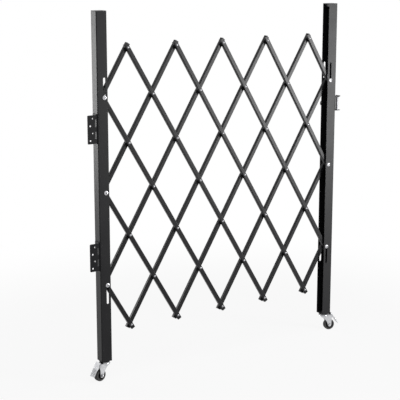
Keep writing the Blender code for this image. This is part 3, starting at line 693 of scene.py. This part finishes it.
# Butt hinges. Two black painted steel hinges carry the left post. Their knuckles are rolled round
# a headed pin at the post's front corner, and each wall leaf has four countersunk screw holes.
hinge_height = 0.115
hinge_offsets = {"upper": 0.264, "lower": -0.2585}
leaf_width = 0.0465
leaf_sheet = 0.0028
leaf_play = 0.0004
leaf_notch = 0.0135
leaf_corner = 0.004
roll_inset = 0.00005
knuckle_radius = 0.0068
knuckle_steps = 32
wall_knuckle = 0.019
post_knuckle = (hinge_height - 3 * wall_knuckle) / 2
hinge_pin_radius = 0.0034
hinge_head_radius = 0.0055
hinge_head_height = 0.003
hinge_head_rim = 0.0009
screw_count = 4
screw_radius = 0.0033
sink_depth = 0.0021
screw_near = 0.0235
screw_far = 0.0347
screw_margin = 0.0135
hinge_x = -post_web - fit_gap - leaf_sheet - leaf_play / 2
hinge_y = -post_half - fit_gap - knuckle_radius

leaf_paint = coated(
    "leaf_paint",
    colour=(0.004, 0.004, 0.005),
    pale=(0.008, 0.008, 0.009),
    bare=(0.28, 0.28, 0.28),
    gloss=0.44,
    peel_scale=1300.0,
    peel_depth=0.00005,
    wear=0.5,
    sheen=0.12,
)


def pressed(outline, thickness, middle=0.0):
    """A blank of this outline in XZ, with its thickness along Y."""
    shape = bmesh.new()
    ring = [shape.verts.new((x, middle - thickness / 2, z)) for x, z in outline]
    lifted = bmesh.ops.extrude_face_region(shape, geom=[shape.faces.new(ring)])["geom"]
    far = [v for v in lifted if isinstance(v, bmesh.types.BMVert)]
    bmesh.ops.translate(shape, vec=(0, thickness, 0), verts=far)
    bmesh.ops.recalc_face_normals(shape, faces=shape.faces)
    return shape


def mirrored(profile):
    """A profile's points and then their mirror image below, in order round the shape."""
    return profile + [(radius, -height) for radius, height in reversed(profile)]


def screw_holes(near, way, top):
    """Tools for a leaf's countersunk holes, which widen toward its near face."""
    spacing = (hinge_height - 2 * screw_margin) / (screw_count - 1)
    places = []
    for k in range(screw_count):
        x = screw_far if k % 2 else screw_near
        middle = Matrix.Translation((x, near, top - screw_margin - k * spacing))
        places.append(middle @ Matrix.Rotation(way * math.pi / 2, 4, "X"))
    sink = [
        (0, -leaf_sheet - overrun),
        (screw_radius, -leaf_sheet - overrun),
        (screw_radius, -sink_depth),
        (screw_radius + sink_depth + overrun, overrun),
        (0, overrun),
    ]
    return repeated(turned(sink), places)


def leaf(knuckles, way, countersunk):
    """A leaf along +X from the pin, its plate on the side that way gives."""
    near = way * leaf_play / 2
    top = hinge_height / 2
    outline = [(leaf_width, top), (leaf_width, -top)]
    for base, peak in knuckles:
        outline += [(leaf_notch, base), (0, base), (0, peak), (leaf_notch, peak)]
    if knuckles[0][0] > -top:
        outline[2:2] = [(leaf_notch, -top)]
        outline.append((leaf_notch, top))
    plate = pressed(outline, leaf_sheet, near + way * leaf_sheet / 2)
    corners = [
        e
        for e in plate.edges
        if abs(e.verts[0].co.y - e.verts[1].co.y) > weld and e.verts[0].co.x > leaf_notch + weld
    ]
    eased(rounded(plate, corners, leaf_corner, corner_steps), sheet_edge)
    for base, peak in knuckles:
        roll = bmesh.new()
        ends = (0, 0, base + roll_inset), (0, 0, peak - roll_inset)
        add_rod(roll, knuckle_radius, *ends, knuckle_steps)
        plate = worked(plate, eased(roll, sheet_edge), "UNION")
    hole = bmesh.new()
    bore = hinge_pin_radius + fit_gap
    add_rod(hole, bore, (0, 0, -top - overrun), (0, 0, top + overrun), round_steps)
    plate = worked(plate, hole)
    return worked(plate, screw_holes(near, way, top)) if countersunk else plate


knuckle_ends = []
base = -hinge_height / 2
for k in range(5):
    size = post_knuckle if k % 2 else wall_knuckle
    knuckle_ends.append((base + (fit_gap if k else 0), base + size))
    base += size
along_web = Matrix.Rotation(math.pi / 2, 4, "Z")
half = hinge_height / 2 + fit_gap
rod_profile = dome(hinge_head_radius, half + hinge_head_rim, hinge_head_height - hinge_head_rim)
rod_profile = mirrored(rod_profile + [(hinge_head_radius, half), (hinge_pin_radius, half)])
for level, offset in hinge_offsets.items():
    place = Matrix.Translation(crossing(0, 3) + Vector((hinge_x, hinge_y, offset)))
    for fixed, knuckles, way, body, turn in (
        ("wall", knuckle_ends[::2], 1, "wall_leaves", half_turn),
        ("post", knuckle_ends[1::2], -1, "left_post", along_web),
    ):
        plate = placed(leaf(knuckles, way, fixed == "wall"), place @ turn)
        name, cad = f"hinge_{level}_{fixed}_plate", f"hinge_{level}_{fixed}_leaf"
        fitted(name, plate, leaf_paint, "dark_steel", body, cad)
    rod = placed(turned(rod_profile), place)
    name, cad = f"hinge_{level}_rod", f"hinge_{level}_pin"
    fitted(name, rod, leaf_paint, "dark_steel", "wall_leaves", cad)

# Latch. The right post carries a black strike bracket with a plain steel rod between its ears on
# its outer face, and a moulded black thumb knob on its rear flange.
latch_offset = 0.277
bracket_height = 0.063
bracket_depth = 0.030
bracket_reach = 0.029
bracket_sheet = 0.0024
bracket_bend = 0.0035
bracket_inset = 0.001
lip_length = 0.009
lip_rise = 0.45
rod_radius = 0.0052
rod_standoff = 0.0155
rod_inset = 0.007
rod_steps = 28
knob_radius = 0.014
knob_height = 0.010
knob_dish = 0.0008
knob_step = 0.0006
knob_waist = 0.009
knob_foot = 0.003
grip_count = 18
grip_depth = 0.0009
grip_steps = 12
finest_steps = 72

# painted shade: the rod's colour is darkened so that it shows grey where it reflects the white
# surroundings
plain_steel_shaded = plated("plain_steel_shaded", (0.26, 0.26, 0.27), (0.18, 0.18, 0.19), 0.42, 0.00005)

latch = Matrix.Translation(crossing(last_column, 3) + Vector((0, 0, latch_offset)))
on_web = latch @ Matrix.Translation((post_web + fit_gap, 0, 0))
bracket = formed_channel(bracket_depth, bracket_height, bracket_reach, bracket_sheet, bracket_bend)
stand = Matrix((
    (0, 0, -1, bracket_reach),
    (1, 0, 0, bracket_inset - post_half),
    (0, -1, 0, 0),
    (0, 0, 0, 1),
))
whole = bracket.verts[:] + bracket.edges[:] + bracket.faces[:]
bmesh.ops.bisect_plane(bracket, geom=whole, plane_co=(0, 0, lip_length), plane_no=(0, 0, 1))
for corner in bracket.verts:
    if corner.co.z < lip_length - weld and corner.co.y < 0:
        corner.co.y -= (lip_length - corner.co.z) * lip_rise
bracket = eased(placed(bracket, on_web @ stand), sheet_edge)
fitted("strike_plate", bracket, powder_coat, "dark_steel", "right_post", "strike_bracket")
half = bracket_height / 2 - bracket_sheet - fit_gap
rod = bmesh.new()
at = Vector((rod_standoff, bracket_inset - post_half + rod_inset, 0))
add_rod(rod, rod_radius, at - Vector((0, 0, half)), at + Vector((0, 0, half)), rod_steps)
rod = placed(eased(rod, edge_break), on_web)
fitted("strike_bar", rod, plain_steel_shaded, "bright_zinc", "right_post", "strike_rod")

knob_profile = [
    (0, knob_height - knob_dish),
    (knob_radius / 2, knob_height - knob_dish / 2),
    (knob_radius - knob_foot, knob_height),
    (knob_radius - knob_dish, knob_height - knob_dish),
    (knob_radius, knob_height - knob_foot),
    (knob_radius, knob_foot + knob_step),
    (knob_radius - knob_step, knob_foot),
    (knob_waist, knob_foot),
    (knob_waist, fit_gap),
    (0, fit_gap),
]
grooves = bmesh.new()
for k in range(grip_count):
    turn = 2 * math.pi * k / grip_count
    out = Vector((math.cos(turn), math.sin(turn), 0)) * (knob_radius + grip_depth / 2)
    add_rod(grooves, grip_depth, out, out + Vector((0, 0, knob_height + overrun)), grip_steps)
knob = eased(worked(turned(knob_profile, finest_steps), grooves), fine_edge)
to_back = Matrix.Translation((0, post_half, 0)) @ Matrix.Rotation(-math.pi / 2, 4, "X")
placed(knob, latch @ to_back)
fitted("thumb_grip", knob, cap_plastic, "black_plastic", "thumb_knob", "thumb_knob")

# Caster stems and raceways. A threaded zinc-plated stem is held in the foot plate by a nut and
# washer. The fork turns on a zinc-plated ball raceway under a top plate coated with the post.
caster_height = 0.084
race_height = 0.0079
race_waist = 0.002
race_edge = 0.0009
crown_radius = 0.022
crown_thickness = 0.004
stem_radius = 0.005
stem_head_radius = 0.008
stem_head_height = 0.004
stem_nut_radius = 0.0085
stem_nut_height = 0.008
stem_washer_radius = 0.0105
foot_thickness = 0.004
post_centre = post_width / 2 - pin_inset
crown_top = caster_height - 2 * fit_gap - race_height
crown_low = crown_top - crown_thickness
nut_low = caster_height + foot_thickness + fit_gap
nut_top = nut_low + stem_nut_height
washer_top = nut_low + washer_height
race_top = caster_height - fit_gap
race_low = race_top - race_height
race_gap = (race_top + race_low) / 2
floor_z = pin_foot.z
right_pin_x = pin_foot.x + last_column * column_step
caster_places = {
    "left": Matrix.Translation((pin_foot.x - post_centre, pin_foot.y, floor_z))
    @ Matrix.Rotation(math.radians(194), 4, "Z"),
    "right": Matrix.Translation((right_pin_x + post_centre, pin_foot.y, floor_z))
    @ Matrix.Rotation(math.radians(-16), 4, "Z"),
}
bore = stem_radius + fit_gap
upper_race = [
    (bore, race_top),
    (crown_radius - race_edge, race_top),
    (crown_radius, race_top - race_edge),
    (crown_radius, race_gap + race_waist / 2),
    (crown_radius - race_waist, race_gap + fit_gap / 2),
    (bore, race_gap + fit_gap / 2),
]
lower_race = [(radius, 2 * race_gap - height) for radius, height in reversed(upper_race)]
stem_top = nut_top + bolt_tip
head_top = crown_low - fit_gap
stem_profile = [
    (0, stem_top),
    (stem_radius - edge_break, stem_top),
    (stem_radius, stem_top - edge_break),
    (stem_radius, head_top),
    (stem_head_radius, head_top),
    (stem_head_radius, head_top - stem_head_height),
    (0, head_top - stem_head_height),
]
for side, place in caster_places.items():
    body, caster = f"{side}_post", f"caster_{side}"
    stem = placed(turned(stem_profile), place)
    fitted(f"{caster}_spindle", stem, bright_zinc, "bright_zinc", body, f"{caster}_stem")
    nut = placed(hex_nut(stem_nut_radius, stem_radius + weld, washer_top, nut_top), place)
    fitted(f"{caster}_stem_nut", nut, bright_zinc, "bright_zinc", body)
    washer = placed(flat_ring(stem_washer_radius, bore, nut_low, washer_top), place)
    fitted(f"{caster}_washer", washer, bright_zinc, "bright_zinc", body)
    plate = placed(turned(upper_race, fine_steps), place)
    fitted(f"{caster}_top_plate", plate, powder_coat, "black_powder_coat", body)
    race = placed(turned(lower_race, fine_steps), place)
    fitted(f"{caster}_raceway", race, bright_zinc, "bright_zinc", body, f"{caster}_race")

# Caster forks. Each is pressed from 2 mm zinc-plated steel: a domed crown, two cheeks that sweep
# back to the axle, and a bridge over the brake. A hex bolt with a locking nut is the axle.
wheel_radius = 0.0255
trail = 0.027
hub_width = 0.0254
cheek_sheet = 0.002
cheek_inner = hub_width / 2 + fit_gap
cheek_outer = cheek_inner + cheek_sheet
boss_radius = 0.0085
fork_rear = 0.037
fork_skirt = 0.015
fork_front = crown_radius * 0.80
throat_share = 0.84
nose_bend = 0.010
nose_drop = 0.010
crown_round = ((0.0025, 0), (0.0007, 0.0007), (0, 0.0022))
axle_radius = 0.003
axle_head_radius = 0.0058
axle_head_height = 0.0035
axle_nut_height = 0.0045
pivot_inset = 0.007
barrel_radius = 0.0045
pivot_pin_radius = 0.002
sweep_steps = 10
wheel_centre = Vector((trail, 0, wheel_radius))
pedal_pivot = Vector((fork_rear - pivot_inset, 0, crown_low - barrel_radius / 2))


def hollow(start, bend, end):
    """Points of a hollow edge from a start to an end, drawn in toward its bend."""
    start, bend, end = Vector(start), Vector(bend), Vector(end)
    shares = [k / sweep_steps for k in range(sweep_steps + 1)]
    return [tuple(start * (1 - t) ** 2 + bend * 2 * t * (1 - t) + end * t**2) for t in shares]


def cheek_outline():
    """Crown, hollow front edge, axle boss, hollow throat and rear skirt of one cheek."""
    top = crown_top - crown_thickness / 2
    skirt = crown_low - fork_skirt
    nose = crown_low - crown_thickness
    front = trail - boss_radius
    rear = trail + boss_radius
    outline = [(-fork_front, top)]
    outline += hollow((-fork_front, nose), (nose_bend, nose - nose_drop), (front, wheel_radius))
    for k in range(1, sweep_steps):
        turn = math.pi * (1 + k / sweep_steps)
        across, down = boss_radius * math.cos(turn), boss_radius * math.sin(turn)
        outline.append((trail + across, wheel_radius + down))
    throat = wheel_radius + (skirt - wheel_radius) * throat_share
    outline += hollow((rear, wheel_radius), (rear, throat), (fork_rear, skirt))
    outline.append((fork_rear, top))
    return outline


crown_profile = [(0, crown_top)]
crown_profile += [(crown_radius - inward, crown_top - down) for inward, down in crown_round]
crown_profile += [(crown_radius, crown_low), (0, crown_low)]
for side, place in caster_places.items():
    fork = turned(crown_profile, fine_steps)
    for way in (-1, 1):
        cheek = pressed(cheek_outline(), cheek_sheet, way * (cheek_inner + cheek_sheet / 2))
        fork = worked(fork, cheek, "UNION")
    bridge = bmesh.new()
    half = cheek_outer - cheek_sheet / 2
    low = Vector((0, -half, crown_top - crown_thickness / 2 - cheek_sheet))
    high = Vector((pedal_pivot.x - barrel_radius - fit_gap, half, crown_top - edge_break))
    add_box(bridge, low, high)
    fork = worked(fork, bridge, "UNION")
    bores = bmesh.new()
    ends = (0, 0, crown_low - overrun), (0, 0, crown_top + overrun)
    add_rod(bores, stem_radius + fit_gap, *ends, round_steps)
    reach = Vector((0, cheek_outer + overrun, 0))
    for radius, middle in ((axle_radius, wheel_centre), (pivot_pin_radius, pedal_pivot)):
        add_rod(bores, radius + fit_gap, middle - reach, middle + reach, round_steps)
    fork = placed(eased(worked(fork, bores), sheet_edge), place)
    body, caster = f"caster_{side}_swivel", f"caster_{side}"
    fitted(f"{caster}_yoke", fork, bright_zinc, "bright_zinc", body, f"{caster}_fork")
    across = place @ Matrix.Translation(wheel_centre) @ to_front
    seat = cheek_outer + fit_gap
    in_head = seat + axle_head_height / 2
    tip = -seat - axle_nut_height - bolt_tip
    shank = turned([(0, in_head), (axle_radius, in_head), (axle_radius, tip), (0, tip)])
    head = hex_head(axle_head_radius, seat, seat + axle_head_height)
    axle = placed(worked(eased(shank, edge_break), head, "UNION"), across)
    fitted(f"{caster}_axle_bolt", axle, bright_zinc, "bright_zinc", body, f"{caster}_axle")
    nut = hex_nut(axle_head_radius, axle_radius + weld, -seat - axle_nut_height, -seat)
    fitted(f"{caster}_axle_nut", placed(nut, across), bright_zinc, "bright_zinc", body)

# Caster wheels. A black rubber tyre is moulded on a black plastic hub, which has a thin web with
# ribs between its bore and its rim.
tyre_width = 0.020
tyre_bore_radius = 0.0175
tyre_bore_edge = 0.0008
tyre_shoulder = 0.0045
shoulder_steps = 4
seam_half = 0.0004
seam_depth = 0.0003
hub_boss_radius = 0.0075
web_half = 0.0035
rim_half = 0.0085
rim_thickness = 0.003
rim_play = fit_gap / 3
rib_count = 6
rib_width = 0.0018
rib_inset = 0.001
rib_root = hub_boss_radius * 0.9

tyre_rubber = coated(
    "tyre_rubber",
    colour=(0.026, 0.026, 0.026),
    pale=(0.052, 0.051, 0.050),
    bare=(0.12, 0.12, 0.115),
    gloss=0.72,
    peel_scale=1600.0,
    peel_depth=0.00008,
    wear=0.6,
    sheen=0.4,
)
hub_plastic = coated(
    "hub_plastic",
    colour=(0.006, 0.006, 0.006),
    pale=(0.012, 0.012, 0.012),
    bare=(0.10, 0.10, 0.10),
    gloss=0.50,
    peel_scale=1800.0,
    peel_depth=0.00004,
    wear=0.3,
    sheen=0.2,
)

half = tyre_width / 2
tyre_side = [(tyre_bore_radius, half - tyre_bore_edge), (tyre_bore_radius + tyre_bore_edge, half)]
for k in range(shoulder_steps + 1):
    turn = math.pi / 2 * k / shoulder_steps
    radius = wheel_radius - tyre_shoulder * (1 - math.sin(turn))
    tyre_side.append((radius, half - tyre_shoulder * (1 - math.cos(turn))))
tyre_side.append((wheel_radius, seam_half))
other_side = [(radius, -height) for radius, height in reversed(tyre_side)]
tyre_profile = tyre_side + [(wheel_radius - seam_depth, 0)] + other_side
rim = tyre_bore_radius - rim_play
boss = hub_width / 2 - fit_gap
hub_profile = mirrored([
    (axle_radius + fit_gap, boss),
    (hub_boss_radius, boss),
    (hub_boss_radius, web_half),
    (rim - rim_thickness, web_half),
    (rim - rim_thickness, rim_half),
    (rim, rim_half),
])
for side, place in caster_places.items():
    body, caster = f"caster_{side}_wheel", f"caster_{side}"
    across = place @ Matrix.Translation(wheel_centre) @ to_front
    tyre = placed(turned(tyre_profile, finest_steps), across)
    fitted(f"{caster}_tread", tyre, tyre_rubber, "tyre_rubber", body, f"{caster}_tyre")
    ribs = bmesh.new()
    for k in range(rib_count):
        turn = Matrix.Rotation(2 * math.pi * k / rib_count, 4, "Z")
        span = rim - rim_thickness / 2 - rib_root
        middle = turn @ Matrix.Translation((rib_root + span / 2, 0, 0))
        size = Matrix.Diagonal((span, rib_width, 2 * (rim_half - rib_inset), 1))
        bmesh.ops.create_cube(ribs, size=1, matrix=middle @ size)
    hub = eased(worked(turned(hub_profile, fine_steps), ribs, "UNION"), fine_edge)
    placed(hub, across)
    fitted(f"{caster}_core", hub, hub_plastic, "hub_plastic", body, f"{caster}_hub")

# Wheel brakes. A ribbed zinc-plated pedal pivots in the fork on a pin, and pressing it swings the
# black rubber shoe under its barrel onto the tyre.
pedal_slope = math.radians(58)
pedal_swing = math.radians(12)
pedal_offset = 0.012
pedal_rise = 0.009
pedal_reach = 0.050
pedal_sheet = 0.0022
pedal_lip = 0.005
ear_sheet = 0.0018
ear_spread = 0.028
ear_corner = barrel_radius * 0.7
barrel_core = barrel_radius * 0.92
tread_ribs = 5
tread_spacing = 0.0055
tread_width = 0.0022
tread_height = 0.0020
shoe_width = 0.016
shoe_half = 0.004
shoe_edge = 0.0008

low = pedal_offset - pedal_sheet
lift = low + pedal_lip / 2
lip_end = pedal_reach + pedal_lip
pedal_outline = [
    (-pedal_rise, low),
    (pedal_reach, low),
    (lip_end, lift),
    (lip_end, lift + pedal_sheet),
    (pedal_reach, pedal_offset),
]
for k in range(tread_ribs):
    rib = pedal_reach - tread_spacing * (k + 1)
    crest = pedal_offset + tread_height
    pedal_outline += [(rib + tread_width, pedal_offset), (rib + tread_width, crest)]
    pedal_outline += [(rib, crest), (rib, pedal_offset)]
pedal_outline.append((-pedal_rise, pedal_offset))
ear_outline = [
    (-pedal_rise, low + pedal_sheet / 2),
    (-barrel_radius, 0),
    (-ear_corner, -ear_corner),
    (0, -barrel_radius),
    (ear_corner, -ear_corner),
    (barrel_radius, 0),
    (ear_spread, low + pedal_sheet / 2),
]
half = cheek_inner - fit_gap
drop = pedal_pivot - wheel_centre
clear = drop.length - wheel_radius - fit_gap
shoe_start = barrel_radius + fit_gap
shoe_end = math.sqrt(clear**2 - shoe_half**2)
shoe_outline = [
    (shoe_start, -shoe_half),
    (shoe_end, -shoe_half),
    (shoe_end, shoe_half),
    (shoe_start, shoe_half),
]
aim = Matrix.Rotation(math.atan2(drop.z, -drop.x) - pedal_swing, 4, "Y")
for side, place in caster_places.items():
    pedal = pressed(pedal_outline, 2 * half)
    for way in (-1, 1):
        ear = pressed(ear_outline, ear_sheet, way * (half - ear_sheet / 2))
        pedal = worked(pedal, ear, "UNION")
    for radius, reach in (
        (barrel_core, half - ear_sheet / 4),
        (pivot_pin_radius, cheek_outer + 2 * fit_gap),
    ):
        bar = bmesh.new()
        add_rod(bar, radius, (0, -reach, 0), (0, reach, 0), round_steps)
        pedal = worked(pedal, bar, "UNION")
    at_pivot = place @ Matrix.Translation(pedal_pivot)
    placed(eased(pedal, sheet_edge), at_pivot @ Matrix.Rotation(pedal_slope, 4, "Y"))
    body, caster = f"caster_{side}_pedal", f"caster_{side}"
    fitted(f"{caster}_brake_lever", pedal, bright_zinc, "bright_zinc", body, f"{caster}_pedal")
    shoe = placed(eased(pressed(shoe_outline, shoe_width), shoe_edge, 3), at_pivot @ aim)
    fitted(f"{caster}_brake_shoe", shoe, tyre_rubber, "tyre_rubber", body, f"{caster}_shoe")

# Floor, world, lights and camera. The floor and world show white to the camera and in gloss, and
# the floor keeps a soft shadow. Large soft lamps stand to the left, to the right and overhead.
white = (1, 1, 1, 1)
floor_half = 12.0
floor_drop = 0.0005
floor_middle = (0.6, 0, floor_z - floor_drop)
floor_grey = (0.82, 0.82, 0.82, 1)
floor_roughness = 0.9
shadow_spot = (0.6, 0, floor_z)
shadow_near, shadow_far = 0.9, 2.2
near_white = 0.9
sky_light = 0.15


def shown_white(tree):
    """1 where the camera looks, or a reflection or a clear body shows, and else 0."""
    path = node(tree, "ShaderNodeLightPath").outputs
    shiny = maths(tree, "MAXIMUM", path["Is Glossy Ray"], path["Is Transmission Ray"])
    return maths(tree, "MAXIMUM", path["Is Camera Ray"], shiny)


slab = bmesh.new()
bmesh.ops.create_grid(
    slab, x_segments=1, y_segments=1, size=floor_half, matrix=Matrix.Translation(floor_middle)
)
mesh = bpy.data.meshes.new("studio_floor")
slab.to_mesh(mesh)
slab.free()
floor = bpy.data.objects.new("studio_floor", mesh)
bpy.context.scene.collection.objects.link(floor)
pale_floor, tree, ground = new_material("pale_floor")
ground.inputs["Base Color"].default_value = floor_grey
ground.inputs["Roughness"].default_value = floor_roughness
ground.inputs["Specular IOR Level"].default_value = 0.0
glow = node(tree, "ShaderNodeEmission", {"Color": white, "Strength": 1.0})
spot = node(tree, "ShaderNodeTexCoord").outputs["Object"]
away = node(tree, "ShaderNodeVectorMath", {0: spot, 1: shadow_spot}, operation="DISTANCE")
white_share = node(
    tree,
    "ShaderNodeMapRange",
    {
        "Value": away.outputs["Value"],
        "From Min": shadow_near,
        "From Max": shadow_far,
        "To Min": near_white,
        "To Max": 1.0,
    },
    interpolation_type="SMOOTHSTEP",
).outputs["Result"]
faded = maths(tree, "MULTIPLY", shown_white(tree), white_share)
blend = node(tree, "ShaderNodeMixShader", {0: faded, 1: ground.outputs[0], 2: glow.outputs[0]})
tree.links.new(blend.outputs[0], tree.nodes["Material Output"].inputs["Surface"])
mesh.materials.append(pale_floor)

studio = bpy.data.worlds.new("studio")
studio.use_nodes = True
bpy.context.scene.world = studio
tree = studio.node_tree
soft_sky = tree.nodes["Background"]
soft_sky.inputs["Color"].default_value = white
soft_sky.inputs["Strength"].default_value = sky_light
open_sky = node(tree, "ShaderNodeBackground", {"Color": white, "Strength": 1.0})
skies = {0: shown_white(tree), 1: soft_sky.outputs[0], 2: open_sky.outputs[0]}
blend = node(tree, "ShaderNodeMixShader", skies)
tree.links.new(blend.outputs[0], tree.nodes["World Output"].inputs["Surface"])


def soft_lamp(name, place, aim, width, height, power):
    """A soft box that faces a point and isn't seen itself."""
    lamp = bpy.data.lights.new(name, "AREA")
    lamp.shape = "RECTANGLE"
    lamp.size = width
    lamp.size_y = height
    lamp.energy = power
    thing = bpy.data.objects.new(name, lamp)
    bpy.context.scene.collection.objects.link(thing)
    thing.location = place
    thing.rotation_mode = "QUATERNION"
    thing.rotation_quaternion = (Vector(aim) - Vector(place)).to_track_quat("-Z", "Y")
    thing.visible_camera = False


heart = Vector((0.6, 0, -0.2))
soft_lamp("right_lamp", (3.95, -3.65, -0.35), heart, 1.4, 1.3, 185)
soft_lamp("left_lamp", (-2.3, 4.4, -0.28), heart, 2.2, 1.5, 90)
soft_lamp("top_lamp", (0.2, -1.2, 3.2), heart, 2.5, 2.5, 60)

camera = bpy.data.cameras.new("camera")
camera.sensor_width = 36.0
camera.lens = 98.59
camera.shift_y = -0.08
viewer = bpy.data.objects.new("camera", camera)
bpy.context.scene.collection.objects.link(viewer)
viewer.location = (-1.8951, -3.8371, 0.6867)
viewer.rotation_euler = (math.radians(90 - 11.1522), 0, math.radians(-32.0021))
bpy.context.scene.camera = viewer
bpy.context.scene.view_settings.view_transform = "Standard"
